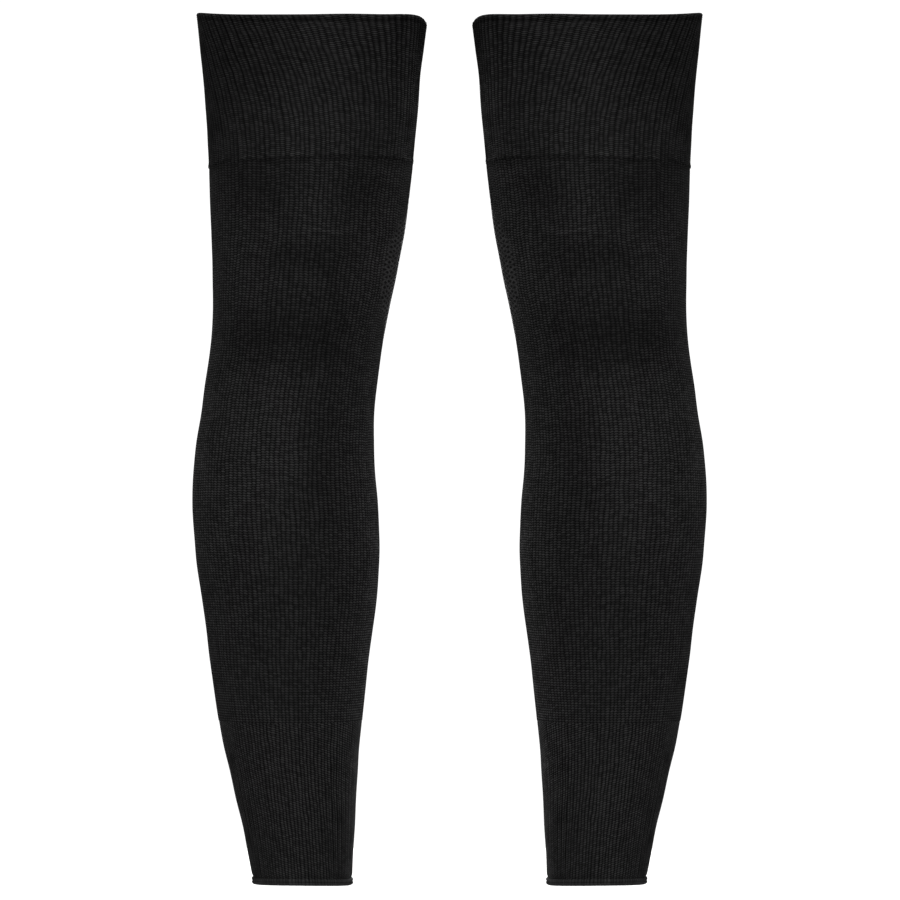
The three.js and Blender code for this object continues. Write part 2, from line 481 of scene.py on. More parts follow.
class NodeSheet:
    """Adds and links the nodes of one node tree."""

    mix_sockets: dict[str, tuple[int, int, int]] = {"FLOAT": (2, 3, 0), "RGBA": (6, 7, 2)}
    noise_spread: float = 1.6

    def __init__(self, tree: bpy.types.NodeTree) -> None:
        """Takes the tree to draw on."""
        self.tree = tree

    def fill(self, node: bpy.types.Node, inputs: dict) -> bpy.types.Node:
        """Links inputs of a node to sockets, or gives them plain values.

        Args:
            node: The node.
            inputs: What feeds each input, by the input's name or number.

        Returns:
            The node.
        """
        for key, value in inputs.items():
            if isinstance(value, Socket):
                self.tree.links.new(value, node.inputs[key])
            else:
                node.inputs[key].default_value = value
        return node

    def add(self, kind: str, inputs: dict | None = None, **settings: object) -> bpy.types.Node:
        """Adds a node.

        Args:
            kind: The node's type.
            inputs: What feeds its inputs, by their names or numbers.
            settings: Properties of the node and their values.

        Returns:
            The new node.
        """
        node = self.tree.nodes.new(kind)
        for name, value in settings.items():
            setattr(node, name, value)
        return self.fill(node, inputs or {})

    def group(self, name: str, inputs: dict) -> bpy.types.bpy_prop_collection:
        """Adds a node group by its name, feeds its inputs and gives back its outputs."""
        return self.add("ShaderNodeGroup", inputs, node_tree=bpy.data.node_groups[name]).outputs

    def attribute(self, name: str) -> Socket:
        """Reads one of the values that a piece carries at its points."""
        return self.add("ShaderNodeAttribute", attribute_name=name).outputs["Fac"]

    def maths(self, operation: str, *values: object, clamp: bool = False) -> Socket:
        """A maths node fed with sockets or numbers, whose result may be kept from 0 to 1."""
        node = self.add("ShaderNodeMath", dict(enumerate(values)), operation=operation, use_clamp=clamp)
        return node.outputs[0]

    def uneven(self, across: object, along: object) -> Socket:
        """A soft, uneven rise and fall over the cloth.

        Args:
            across: The place across the cloth.
            along: The place along the cloth.

        Returns:
            A value that wanders between about -0.5 and 0.5.
        """
        place = self.add("ShaderNodeCombineXYZ", {0: across, 1: along}).outputs[0]
        fed = {"Vector": place, "Scale": 1.0, "Detail": 1.0}
        noise = self.add("ShaderNodeTexNoise", fed, noise_dimensions="2D").outputs["Fac"]
        return self.maths("MULTIPLY", self.maths("SUBTRACT", noise, 0.5), self.noise_spread)

    def shade(self, mask: Socket, depth: object) -> Socket:
        """A light that falls from 1, by as much as a depth says, where a mask rises to 1."""
        return self.maths("SUBTRACT", 1.0, self.maths("MULTIPLY", mask, depth))

    def mix(self, kind: str, share: object, first: object, second: object) -> Socket:
        """A mix node.

        Args:
            kind: FLOAT for values or RGBA for colours.
            share: How much of the second one shows.
            first: The first value or colour.
            second: The second value or colour.

        Returns:
            The mixed value or colour.
        """
        one, two, mixed = self.mix_sockets[kind]
        fed = {0: share, one: first, two: second}
        return self.add("ShaderNodeMix", fed, data_type=kind).outputs[mixed]


def new_group(
    name: str, inputs: dict[str, tuple[str, ...]], outputs: dict[str, tuple[str, ...]]
) -> tuple[bpy.types.NodeTree, NodeSheet, bpy.types.bpy_prop_collection, bpy.types.Node]:
    """A shader node group with named inputs and outputs.

    Args:
        name: The group's name.
        inputs: The names of the inputs, by the kind of their sockets.
        outputs: The names of the outputs, by the kind of their sockets.

    Returns:
        The group, its sheet, the sockets that its inputs are inside it, and its output node.
    """
    group = bpy.data.node_groups.new(name, "ShaderNodeTree")
    for way, sockets in (("INPUT", inputs), ("OUTPUT", outputs)):
        for kind, labels in sockets.items():
            for label in labels:
                group.interface.new_socket(label, in_out=way, socket_type=f"NodeSocket{kind}")
    sheet = NodeSheet(group)
    return group, sheet, sheet.add("NodeGroupInput").outputs, sheet.add("NodeGroupOutput")


@dataclass(frozen=True)
class KnitPattern:
    """How the knit wanders from the plain pattern, the same for every cloth."""

    drift_across: float = 0.35
    drift_along: float = 0.09
    almost_half: float = 0.4999
    hollow_sharpness: float = 1.7
    pit_sharpness: float = 0.7
    line_step: float = 3.7
    line_along: float = 0.07
    line_change: float = 0.9
    clouds_per_metre: float = 55.0
    cloud_detail: float = 3.0
    painted_glint_light: float = 0.25
    roughness_change: float = 0.1
    diamond_light: float = 0.12
    crossing_light: float = 0.8
    loop_settings: tuple[str, ...] = (
        "Slant",
        "Skew",
        "Stagger",
        "Waver",
        "Groove Shade",
        "Groove Width",
        "Course Shade",
        "Pit Shade",
        "Yarn Twist",
    )
    yarn_settings: tuple[str, ...] = ("Unevenness", "Mottling", "Roughness")
    mesh_settings: tuple[str, ...] = ("Mesh Wales", "Mesh Courses", "Mesh Yarn")

    def knit_loops(self) -> bpy.types.NodeTree:
        """Rows of knitted loops in upright wales, with painted shade in the grooves, between the courses and
        in a dark pit on either side of every loop.

        Returns:
            The node group. It puts out Light, which is 1 on top of a loop and 0 in a pit, Height, and a
            vector that differs from loop to loop.
        """
        group, sheet, given, result = new_group(
            "Knit loops",
            {"Vector": ("Loops",), "Float": self.loop_settings},
            {"Float": ("Light", "Height"), "Vector": ("Loop Seed",)},
        )
        maths = sheet.maths
        across, course, _ = sheet.add("ShaderNodeSeparateXYZ", {0: given["Loops"]}).outputs
        slowly = maths("MULTIPLY", course, self.drift_along)
        drift = sheet.uneven(maths("MULTIPLY", across, self.drift_across), slowly)
        wale = maths("MULTIPLY_ADD", drift, given["Waver"], across)
        crown = maths("COSINE", maths("MULTIPLY", wale, FULL_TURN))
        side = maths("MULTIPLY_ADD", crown, -self.almost_half, 0.5)
        rib = maths("FLOOR", maths("ADD", wale, 0.5))
        bent = maths("MULTIPLY", side, given["Slant"])
        leaning = maths("MULTIPLY", maths("SUBTRACT", wale, rib), given["Skew"])
        along = maths("ADD", course, maths("ADD", bent, leaning))
        along = maths("MULTIPLY_ADD", maths("FLOORED_MODULO", rib, 2.0), given["Stagger"], along)
        wave = maths("COSINE", maths("MULTIPLY", along, FULL_TURN))
        gap = maths("MULTIPLY_ADD", wave, -0.5, 0.5)
        groove = maths("POWER", side, given["Groove Width"])
        hollow = maths("POWER", side, self.hollow_sharpness)
        line = maths("MULTIPLY", maths("FLOOR", wale), self.line_step)
        deeper = sheet.uneven(line, maths("MULTIPLY", course, self.line_along))
        deeper = maths("MULTIPLY_ADD", deeper, self.line_change, 1.0)
        depth = maths("MULTIPLY", given["Groove Shade"], deeper)
        # Light: painted shade in the grooves (deeper in some than others), between the courses and in the
        # pits beside each loop.
        light = sheet.shade(groove, maths("MINIMUM", depth, 1.0))
        light = maths("MULTIPLY", light, sheet.shade(gap, given["Course Shade"]))
        pit = maths("MULTIPLY", maths("POWER", gap, self.pit_sharpness), hollow)
        light = maths("MULTIPLY", light, sheet.shade(pit, given["Pit Shade"]), clamp=True)
        strand = maths("ADD", maths("MULTIPLY", wale, 2.0), along)
        twist = maths("SINE", maths("MULTIPLY", strand, 2 * FULL_TURN))
        height = maths("ADD", light, maths("MULTIPLY", twist, given["Yarn Twist"]))
        nearest = maths("FLOOR", maths("ADD", along, 0.5))
        seed = sheet.add("ShaderNodeCombineXYZ", {0: rib, 1: nearest}).outputs[0]
        sheet.fill(result, {"Light": light, "Height": height, "Loop Seed": seed})
        return group

    def yarn_colour(self) -> bpy.types.NodeTree:
        """The colour of black yarn: painted shade in the pits, painted light on the loops, the painted
        highlights and shade that each piece carries, and a tone that is never even.

        Returns:
            The node group. It puts out Color and Roughness.
        """
        group, sheet, given, result = new_group(
            "Yarn colour and painted shade",
            {
                "Vector": ("Place", "Loop Seed"),
                "Color": ("Painted Pit Shade Color", "Yarn Color"),
                "Float": ("Light", "Painted Glint And Shade", "Painted Light And Shade", *self.yarn_settings),
            },
            {"Color": ("Color",), "Float": ("Roughness",)},
        )
        maths = sheet.maths
        loop = {"Vector": given["Loop Seed"]}
        chance = sheet.add("ShaderNodeTexWhiteNoise", loop, noise_dimensions="2D").outputs["Value"]
        fed = {"Vector": given["Place"], "Scale": self.clouds_per_metre, "Detail": self.cloud_detail}
        clouds = sheet.add("ShaderNodeTexNoise", fed).outputs["Fac"]
        uneven = maths("MULTIPLY", maths("MULTIPLY_ADD", chance, 2.0, -1.0), given["Unevenness"])
        mottled = maths("MULTIPLY", maths("MULTIPLY_ADD", clouds, 2.0, -1.0), given["Mottling"])
        tone_and_painted_light = maths("ADD", 1.0, maths("ADD", uneven, mottled))
        # Painted highlight from the piece's marks brightens the yarn, and painted shade from them darkens the
        # loops.
        painted_glint = maths("MAXIMUM", given["Painted Glint And Shade"], 0.0)
        tone_and_painted_light = maths("MAXIMUM", maths("ADD", tone_and_painted_light, maths("MULTIPLY", chance, painted_glint)), 0.0)
        # Painted light and shade over the leg scales the yarn's colour.
        tone_and_painted_light = maths("MULTIPLY", tone_and_painted_light, maths("ADD", given["Painted Light And Shade"], 1.0))
        dyed = {0: given["Yarn Color"], "Scale": tone_and_painted_light}
        yarn = sheet.add("ShaderNodeVectorMath", dyed, operation="SCALE").outputs[0]
        painted_shade_factor = maths("ADD", maths("MINIMUM", given["Painted Glint And Shade"], 0.0), 1.0)
        lit = maths("MULTIPLY", given["Light"], painted_shade_factor)
        lit = maths("MULTIPLY_ADD", painted_glint, self.painted_glint_light, lit, clamp=True)
        # Where the painted light is low, the near-black painted pit shade colour shows.
        color = sheet.mix("RGBA", lit, given["Painted Pit Shade Color"], yarn)
        rough = maths("MULTIPLY_ADD", chance, self.roughness_change, given["Roughness"], clamp=True)
        sheet.fill(result, {"Color": color, "Roughness": rough})
        return group

    def crossed_mesh(self) -> bpy.types.NodeTree:
        """The open crossed knit behind the knee: slanting yarns that cross over dark diamonds.

        Returns:
            The node group. It puts out Light, which is high on a crossing yarn and low in a diamond.
        """
        group, sheet, given, result = new_group(
            "Crossed mesh", {"Vector": ("Loops",), "Float": self.mesh_settings}, {"Float": ("Light",)}
        )
        maths = sheet.maths
        across, course, _ = sheet.add("ShaderNodeSeparateXYZ", {0: given["Loops"]}).outputs
        across = maths("DIVIDE", across, given["Mesh Wales"])
        along = maths("DIVIDE", course, given["Mesh Courses"])
        yarns = []
        for operation in ("ADD", "SUBTRACT"):
            way = maths("MULTIPLY", maths(operation, across, along), math.pi)
            yarns.append(maths("ABSOLUTE", maths("COSINE", way)))
        fed = {
            "Value": maths("MAXIMUM", *yarns),
            "From Min": maths("SUBTRACT", 1.0, given["Mesh Yarn"]),
            "From Max": 1.0,
            "To Min": self.diamond_light,
            "To Max": self.crossing_light,
        }
        light = sheet.add("ShaderNodeMapRange", fed, interpolation_type="SMOOTHSTEP").outputs["Result"]
        sheet.fill(result, {"Light": light})
        return group


PATTERN = KnitPattern()


@dataclass(frozen=True)
class KnitFinish:
    """The look of one knitted cloth: its yarn, its loops and how they catch the light."""

    name: str
    yarn: tuple[float, float, float] = (0.0130, 0.0129, 0.0130)
    # The colour of the painted shade in the pits and grooves.
    pit: tuple[float, float, float] = (0.0003, 0.0003, 0.0003)
    slant: float = 0.1
    skew: float = 0.35
    stagger: float = 0.0
    waver: float = 0.45
    groove_shade: float = 0.36
    groove_width: float = 1.6
    course_shade: float = 0.8
    pit_shade: float = 1.0
    yarn_twist: float = 0.05
    unevenness: float = 0.32
    mottling: float = 0.15
    roughness: float = 0.62
    specular: float = 0.01
    sheen: float = 0.012
    sheen_roughness: float = 0.3
    bump: float = 0.5
    bump_height: float = 0.3
    mesh_attribute: str = ""
    mesh_wales: float = 3.0
    mesh_courses: float = 2.0
    mesh_yarn: float = 0.4

    def settings(self, labels: tuple[str, ...]) -> dict[str, float]:
        """This finish's values for a group's inputs, each named after its field."""
        return {label: getattr(self, label.lower().replace(" ", "_")) for label in labels}

    def material(self) -> bpy.types.Material:
        """Builds the cloth's material.

        Returns:
            The new material, which reads the UV map that counts wales and courses.
        """
        material = bpy.data.materials.new(self.name)
        material.use_nodes = True
        sheet = NodeSheet(material.node_tree)
        loops = sheet.add("ShaderNodeUVMap", uv_map=LOOP_MAP).outputs["UV"]
        knit = sheet.group("Knit loops", {"Loops": loops, **self.settings(PATTERN.loop_settings)})
        light, height = knit["Light"], knit["Height"]
        if self.mesh_attribute:
            light, height = self.with_mesh(sheet, loops, light, height)
        yarn = sheet.group(
            "Yarn colour and painted shade",
            {
                "Place": sheet.add("ShaderNodeTexCoord").outputs["Object"],
                "Loop Seed": knit["Loop Seed"],
                "Light": light,
                "Painted Pit Shade Color": (*self.pit, 1.0),
                "Yarn Color": (*self.yarn, 1.0),
                "Painted Glint And Shade": sheet.attribute("painted_glint_and_shade"),
                "Painted Light And Shade": sheet.attribute("painted_light_and_shade"),
                **self.settings(PATTERN.yarn_settings),
            },
        )
        raised = {"Strength": self.bump, "Distance": self.bump_height * MM, "Height": height}
        sheet.fill(
            material.node_tree.nodes["Principled BSDF"],
            {
                "Base Color": yarn["Color"],
                "Roughness": yarn["Roughness"],
                "Normal": sheet.add("ShaderNodeBump", raised).outputs["Normal"],
                "Specular IOR Level": self.specular,
                "Sheen Weight": self.sheen,
                "Sheen Roughness": self.sheen_roughness,
            },
        )
        return material

    def with_mesh(self, sheet: NodeSheet, loops: Socket, *knitted: Socket) -> tuple[Socket, ...]:
        """Puts the crossed mesh in place of the loops where the cloth's attribute says so.

        Args:
            sheet: The material's nodes.
            loops: The wale and course of each point.
            knitted: The loops' light and height.

        Returns:
            The light and the height of both knits together.
        """
        zone = sheet.attribute(self.mesh_attribute)
        mesh = sheet.group("Crossed mesh", {"Loops": loops, **self.settings(PATTERN.mesh_settings)})
        return tuple(sheet.mix("FLOAT", zone, value, mesh["Light"]) for value in knitted)


RIBBED_DOUBLE = KnitFinish(
    name="black ribbed double knit",
    yarn=(0.0133, 0.0132, 0.0133),
    slant=0.0,
    skew=0.1,
    stagger=0.5,
    waver=0.5,
    groove_shade=0.45,
    course_shade=0.95,
    unevenness=0.36,
)
FINE_PLAIN = KnitFinish(name="black fine plain knit", mesh_attribute="mesh_zone")
FINE_RIBBED = KnitFinish(
    name="black fine ribbed knit",
    yarn=(0.0147, 0.0146, 0.0147),
    stagger=0.5,
    groove_shade=0.55,
)
OVERLOCKED = KnitFinish(
    name="black overlocked edge",
    yarn=(0.0143, 0.0142, 0.0144),
    slant=1.0,
    skew=0.0,
    waver=0.6,
    groove_shade=0.5,
    course_shade=0.3,
    pit_shade=0.3,
)


@dataclass
class ClothPiece:
    """One piece of cloth of the right leg: a closed wall round the leg, ribbed outside and plain inside."""

    form: LegForm
    node: str = ""
    slot: str = ""
    finish: KnitFinish = FINE_PLAIN
    wall: float = 2.0
    groove: float = 0.5
    rib_shape: float = 0.7
    loop_relief: float = 0.1
    columns_per_wale: int = 4
    rows_per_course: int = 2
    course_cuts: tuple[int, ...] = (10, 2)
    inner_rows: int = 10
    fold: float = 0.0
    fold_rows: int = 0
    cut_width: float = 0.3
    cut_length: float = 0.1
    spots: Spots | None = None

    @property
    def rows(self) -> int:
        """The rows of the outer face."""
        return math.prod(self.course_cuts)

    @property
    def around(self) -> int:
        """The columns round the piece."""
        return WALES * self.columns_per_wale

    def bottom_edge(self, turn: Array) -> Array:
        """Height of the piece's lower edge."""
        return self.form.foot(turn)

    def top_edge(self, turn: Array) -> Array:
        """Height of the piece's upper edge."""
        return self.form.rim(turn)

    def lean(self, level: Array, turn: Array) -> Array:
        """How far the ribs have turned outwards at each level, in radians."""
        return np.zeros_like(level)

    def painted_light_and_shade(self, spots: Spots) -> Array:
        """Painted light and shade: how much paler the cloth is painted where the leg is lit more, and darker
        where it lies in shade.
        """
        return sum(swell.at(spots.up, spots.turn) for swell in PAINTED_LIGHT_AND_SHADE)

    def painted_glint_and_shade(self, spots: Spots) -> Array:
        """Painted highlight above 0, where yarn would catch the light, or painted shade, down to -1."""
        return np.zeros_like(spots.up)

    def groove_share(self, spots: Spots) -> Array:
        """How deep the grooves are beside their usual depth, from place to place."""
        return np.ones_like(spots.up)

    def relief(self, spots: Spots) -> Array:
        """How far the outer face lies inside its plain form, rib by rib and loop by loop.

        Args:
            spots: The places.

        Returns:
            The depth at each place.
        """
        crown = (1 + np.cos(FULL_TURN * spots.wale)) / 2
        rib = np.round(spots.wale)
        shifted = self.finish.stagger * (rib % 2)
        loops = np.cos(FULL_TURN * (spots.course + np.abs(spots.wale - rib) + shifted))
        grooves = self.groove * self.groove_share(spots) * (1 - crown**self.rib_shape)
        return grooves - self.loop_relief * loops

    def marks(self) -> dict[str, Array]:
        """The values at the piece's points that its material reads, by their names: painted highlight and
        shade, and painted light and shade.
        """
        return {"painted_glint_and_shade": self.painted_glint_and_shade(self.spots), "painted_light_and_shade": self.painted_light_and_shade(self.spots)}

    def build(self) -> Piece:
        """Makes, shapes and dresses the piece for the right leg.

        Returns:
            The finished piece.
        """
        name = f"{Side.RIGHT.value}_{self.node}_cloth"
        piece = blank_tube(name, self.around, self.course_cuts, self.inner_rows)
        mesh = piece.data
        x, y, level = vertex_places(piece).T
        outside = np.hypot(x, y) > (Face.OUTER.value + Face.INNER.value) / 2
        column = np.round(np.arctan2(y, x) / FULL_TURN * self.around) % self.around
        mesh.vertices.foreach_set("co", self.shape(column, level, outside).ravel())
        for label, values in self.marks().items():
            marked = mesh.attributes.new(label, "FLOAT", "POINT")
            marked.data.foreach_set("value", values.astype(np.float32))
        self.count_loops(mesh, column, level)
        mesh.update()
        turn_outwards(piece)
        mesh.materials.clear()
        mesh.materials.append(bpy.data.materials[self.finish.name])
        select_only(piece)
        bpy.ops.object.shade_smooth_by_angle(angle=SHARP_EDGE)
        return piece

    def shape(self, column: Array, level: Array, outside: Array) -> Array:
        """Finds each vertex's place on the leg, and notes its spot on the cloth.

        Args:
            column: The number of each vertex's column round the tube.
            level: Its level, from 0 to 1.
            outside: Whether it lies on the outer face.

        Returns:
            The places, one a row, in metres.
        """
        knitted = self.rows - self.fold_rows
        row = level * self.rows
        share = np.clip(row / knitted, 0.0, 1.0)
        roll = np.clip((row - knitted) / max(self.fold_rows, 1), 0.0, 1.0) * math.pi / 2
        even = column / self.around * FULL_TURN
        level_up = self.bottom_edge(even) + (self.top_edge(even) - self.bottom_edge(even)) * level
        turn = self.form.spread(level_up, even)
        turn = turn - self.lean(level, turn)
        bottom = self.bottom_edge(turn)
        top = self.top_edge(turn) - self.fold
        up = bottom + (top - bottom) * share + self.fold * np.sin(roll)
        course = np.minimum(row, knitted) / self.rows_per_course
        self.spots = Spots(up, turn, column / self.columns_per_wale, course)
        tucked = self.fold * (1 - np.cos(roll))
        raised = self.relief(self.spots) * np.cos(roll)
        return self.form.point(up, turn, np.where(outside, raised + tucked, self.wall - tucked))

    def count_loops(self, mesh: bpy.types.Mesh, column: Array, level: Array) -> None:
        """Lays the UV map that gives each corner's wale and course.

        Args:
            mesh: The piece's mesh.
            column: The number of each vertex's column.
            level: Each vertex's level.
        """
        for old in list(mesh.uv_layers):
            mesh.uv_layers.remove(old)
        corners = np.empty(len(mesh.loops), np.int32)
        mesh.loops.foreach_get("vertex_index", corners)
        faces = np.repeat(np.arange(len(mesh.polygons)), [len(face.vertices) for face in mesh.polygons])
        wale = column[corners] / self.columns_per_wale
        highest = np.zeros(len(mesh.polygons))
        np.maximum.at(highest, faces, wale)
        wale = np.where(highest[faces] - wale > WALES / 2, wale + WALES, wale)
        course = level[corners] * self.rows / self.rows_per_course
        layer = mesh.uv_layers.new(name=LOOP_MAP)
        layer.data.foreach_set("uv", np.stack([wale, course], axis=1).astype(np.float32).ravel())


@dataclass
class ThighCuff(ClothPiece):
    """The wide cuff round the thigh: ribbed double cloth, folded over along the rim."""

    node: str = "thigh_cuff"
    slot: str = "thigh_rib"
    finish: KnitFinish = RIBBED_DOUBLE
    wall: float = 2.8
    groove: float = 0.9
    course_cuts: tuple[int, ...] = (47, 3)
    inner_rows: int = 12
    fold: float = 1.35
    fold_rows: int = 5
    cut_width: float = 0.40
    cut_length: float = 0.098
    tall: float = 100.0
    rib_lean: float = math.radians(18)
    outer_lean: float = 1.1
    # Painted highlight along the rim and painted shade just below it.
    painted_rim_highlight: Band = Band(lift=0.8, width=1.3)
    rim_shade: Band = Band(lift=0.5, width=1.3, middle=4.0)
    rim_groove: Band = Band(lift=0.55, width=1.5, middle=4.2)
    rim_roll: Band = Band(lift=0.25, width=1.0, middle=1.2)
    join_height: float = 1.4
    join_rise: Wobble = Wobble(seed=15, around=80, along=2, lift=1.6)
    join_looseness: Wobble = Wobble(seed=14, around=240, along=40)
    # Painted highlight on the loops of the join and painted shade in its pits.
    painted_join_highlight: Band = Band(lift=0.8, width=1.0, middle=0.8)
    painted_join_shade: Band = Band(lift=0.9, width=0.9, middle=-0.7)
    # Painted shade in the grooves of the leaning ribs, outside and inside.
    painted_outer_groove_shade: Swell = Swell(up=572, turn=36, tall=42, wide=36, lift=1.0)
    painted_inner_groove_shade: Swell = Swell(up=560, turn=150, tall=45, wide=22, lift=0.55)
    outer_sharpness: float = 6.0
    inner_sharpness: float = 3.0
    flat_front: Swell = Swell(turn=100, wide=32, lift=0.35)
    uneven_ribs: Wobble = Wobble(seed=11, around=60, along=7, lift=0.2)
    softness: Wobble = Wobble(seed=12, around=22, along=5, lift=0.35)
    pucker_places: Wobble = Wobble(seed=13, around=70, along=40)
    puckers: Band = Band(lift=1.0, width=1.8, middle=1.2)
    least_pucker: float = 0.1
    more_pucker: float = 0.6

    def bottom_edge(self, turn: Array) -> Array:
        """The join with the leg."""
        return self.form.join(turn) + self.form.sewn_gap / 2

    def lean(self, level: Array, turn: Array) -> Array:
        """The ribs lean more and more outwards towards the rim, most at the outer side."""
        outwards = 1.0 + self.outer_lean * np.cos(turn) * np.abs(np.cos(turn))
        return self.rib_lean * outwards * level**2

    def painted_glint_and_shade(self, spots: Spots) -> Array:
        """Painted highlights on the fuzzy rim and on the loops of the join, and painted shade below the rim,
        in the pits of the join and in the grooves of the leaning ribs.

        Args:
            spots: The places.

        Returns:
            The painted highlight at each place, or below 0 how deep the painted shade is.
        """
        up, turn, wale = spots.up, spots.turn, spots.wale
        below_rim = self.form.rim(turn) - up
        above_seam = up - self.form.thigh_seam(turn)
        loose = self.join_looseness.share(turn, above_seam / self.tall)
        above_loops = above_seam - (self.join_height + self.join_rise.at(turn, np.zeros_like(turn)))
        # join is the painted highlight on the join's loops, pulled the painted shade in its pits.
        join = self.painted_join_highlight.at(above_loops) * loose**2
        pulled = self.painted_join_shade.at(above_loops) * (1.0 - loose) ** 1.5
        # outer and inner are the painted shade in the grooves.
        outer = groove_lines(wale, self.outer_sharpness) * every_other(wale) * self.painted_outer_groove_shade.at(up, turn)
        inner = groove_lines(wale, self.inner_sharpness) * self.painted_inner_groove_shade.at(up, turn)
        return join + self.painted_rim_highlight.at(below_rim) - pulled - self.rim_shade.at(below_rim) - outer - inner

    def groove_share(self, spots: Spots) -> Array:
        """The ribs are uneven, and pulled flatter across the front of the thigh."""
        level = (spots.up - self.form.thigh_seam_up) / self.tall
        return 1.0 - self.flat_front.at(spots.up, spots.turn) + self.uneven_ribs.at(spots.turn, level)

    def relief(self, spots: Spots) -> Array:
        """Ribs and loops, a groove below the rim, soft unevenness and puckers above the seam.

        Args:
            spots: The places.

        Returns:
            The depth at each place.
        """
        below_rim = self.form.rim(spots.turn) - spots.up
        above_seam = spots.up - self.form.thigh_seam(spots.turn)
        level = above_seam / self.tall
        facing = np.sin(spots.turn) ** 2
        rim = facing * (self.rim_groove.at(below_rim) - self.rim_roll.at(below_rim))
        soft = self.softness.at(spots.turn, level)
        pucker = self.least_pucker + self.more_pucker * self.pucker_places.share(spots.turn, level)
        return super().relief(spots) + rim - soft - pucker * self.puckers.at(above_seam)


@dataclass
class LegTube(ClothPiece):
    """The long tube over the knee and the calf, with an open crossed knit behind the knee."""

    node: str = "leg"
    slot: str = "leg_knit"
    wall: float = 1.8
    rib_shape: float = 1.0
    loop_relief: float = 0.0
    columns_per_wale: int = 3
    rows_per_course: int = 1
    course_cuts: tuple[int, ...] = (56, 4)
    inner_rows: int = 14
    cut_width: float = 0.33
    cut_length: float = 0.38
    tall: float = 380.0
    mesh_up: float = 420.0
    mesh_tall: float = 66.0
    mesh_turn: float = 245.0
    mesh_wide: float = 102.0
    mesh_edge: float = 0.04
    mesh_depth: float = 0.6
    crease_bends: float = 14.0
    painted_crease_highlight: Swell = Swell(up=444, turn=99, tall=0.9, wide=9, lift=0.35)
    painted_crease_highlight_bend: float = 1.6
    crease: Swell = Swell(up=444, turn=99, tall=1.1, wide=9, lift=0.5)
    crease_bend: float = 1.2
    # Painted shade along the tight course below the knee.
    tight_shade: Swell = Swell(up=357, turn=80, tall=0.8, wide=26, lift=0.35)
    tight_course: Swell = Swell(up=357, turn=80, tall=0.8, wide=26, lift=0.3)
    join_shade: Band = Band(lift=0.3, width=4.0)
    join_tuck: Band = Band(lift=0.12, width=2.0)
    softness: Wobble = Wobble(seed=23, around=16, along=18, lift=0.3)

    def bottom_edge(self, turn: Array) -> Array:
        """The change of knit above the ankle cuff."""
        return self.form.ankle_seam(turn) + self.form.knitted_gap / 2

    def top_edge(self, turn: Array) -> Array:
        """The join with the thigh cuff."""
        return self.form.join(turn) - self.form.sewn_gap / 2

    def painted_glint_and_shade(self, spots: Spots) -> Array:
        """A painted highlight along the crease above the knee, and painted shade along the tight course below
        the knee and below the join.

        Args:
            spots: The places.

        Returns:
            The painted highlight at each place, or below 0 how deep the painted shade is.
        """
        up, turn = spots.up, spots.turn
        # crease is the painted highlight along the crease, shaded the painted shade below the join.
        crease = self.painted_crease_highlight.at(up + self.painted_crease_highlight_bend * np.sin(turn * self.crease_bends), turn)
        shaded = self.join_shade.at(self.form.thigh_seam(turn) - up)
        return crease - self.tight_shade.at(up, turn) - shaded

    def mesh_zone(self, spots: Spots) -> Array:
        """How far each place belongs to the crossed mesh behind the knee.

        Args:
            spots: The places.

        Returns:
            A share from 0 to 1 for each place.
        """
        rise = (spots.up - self.mesh_up) / self.mesh_tall
        aside = degrees_from(spots.turn, self.mesh_turn) / self.mesh_wide
        return smooth((1.0 - np.hypot(rise, aside)) / self.mesh_edge)

    def marks(self) -> dict[str, Array]:
        """The values that the material reads, with the zone of the crossed mesh."""
        return super().marks() | {self.finish.mesh_attribute: self.mesh_zone(self.spots)}

    def relief(self, spots: Spots) -> Array:
        """Wales and loops, the crossed mesh, a crease above the knee and a tight course below it.

        Args:
            spots: The places.

        Returns:
            The depth at each place.
        """
        up, turn = spots.up, spots.turn
        across = spots.wale / self.finish.mesh_wales
        along = spots.course / self.finish.mesh_courses
        yarns = [np.abs(np.cos(math.pi * (across + sign * along))) for sign in (1, -1)]
        crossed = self.mesh_depth * (1.0 - np.maximum(*yarns))
        zone = self.mesh_zone(spots)
        depth = super().relief(spots) * (1 - zone) + crossed * zone
        crease = self.crease.at(up + self.crease_bend * np.sin(turn * self.crease_bends), turn)
        tucked = self.join_tuck.at(self.form.thigh_seam(turn) - up)
        soft = self.softness.at(turn, (up - self.form.ankle_seam_up) / self.tall)
        return depth - crease + self.tight_course.at(up, turn) + tucked - soft


